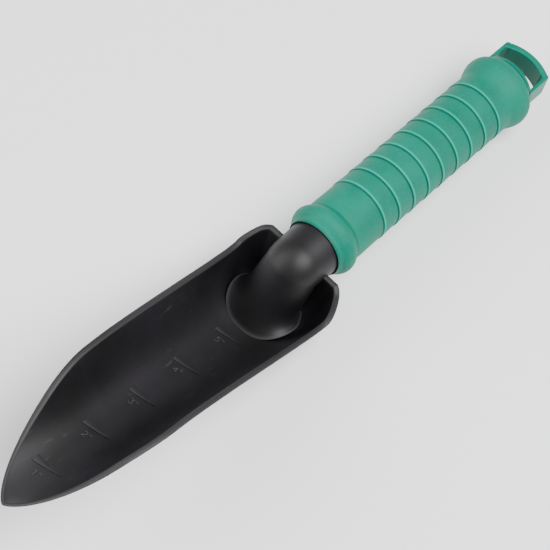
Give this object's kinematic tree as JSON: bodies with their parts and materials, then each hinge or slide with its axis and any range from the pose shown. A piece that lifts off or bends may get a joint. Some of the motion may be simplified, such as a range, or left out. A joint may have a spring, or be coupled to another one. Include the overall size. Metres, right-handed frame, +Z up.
{
  "type": "hand trowel",
  "caption": "Narrow hand trowel: a deep moulded scoop with depth marks and a pointed tip, a bent neck, a ribbed soft grip and an end plug with a hang loop.",
  "frame": {"origin": "on the ground under the middle of the trowel's length and width, as it rests on the scoop's belly and the swell of the grip", "axes": "+X from the blade's tip towards the hang loop, +Z up out of the open side of the scoop, +Y across the trowel, completing a right-handed frame"},
  "size_m": [0.2876, 0.0462, 0.0539],
  "materials": {
    "scoop_plastic": "satin, finely textured",
    "soft_grip": "matt, finely grained",
    "plug_plastic": "satin"
  },
  "bodies": {
    "root": {"blade_moulding": "scoop_plastic", "grip_sleeve": "soft_grip", "hang_plug": "plug_plastic"}
  },
  "joints": []
}
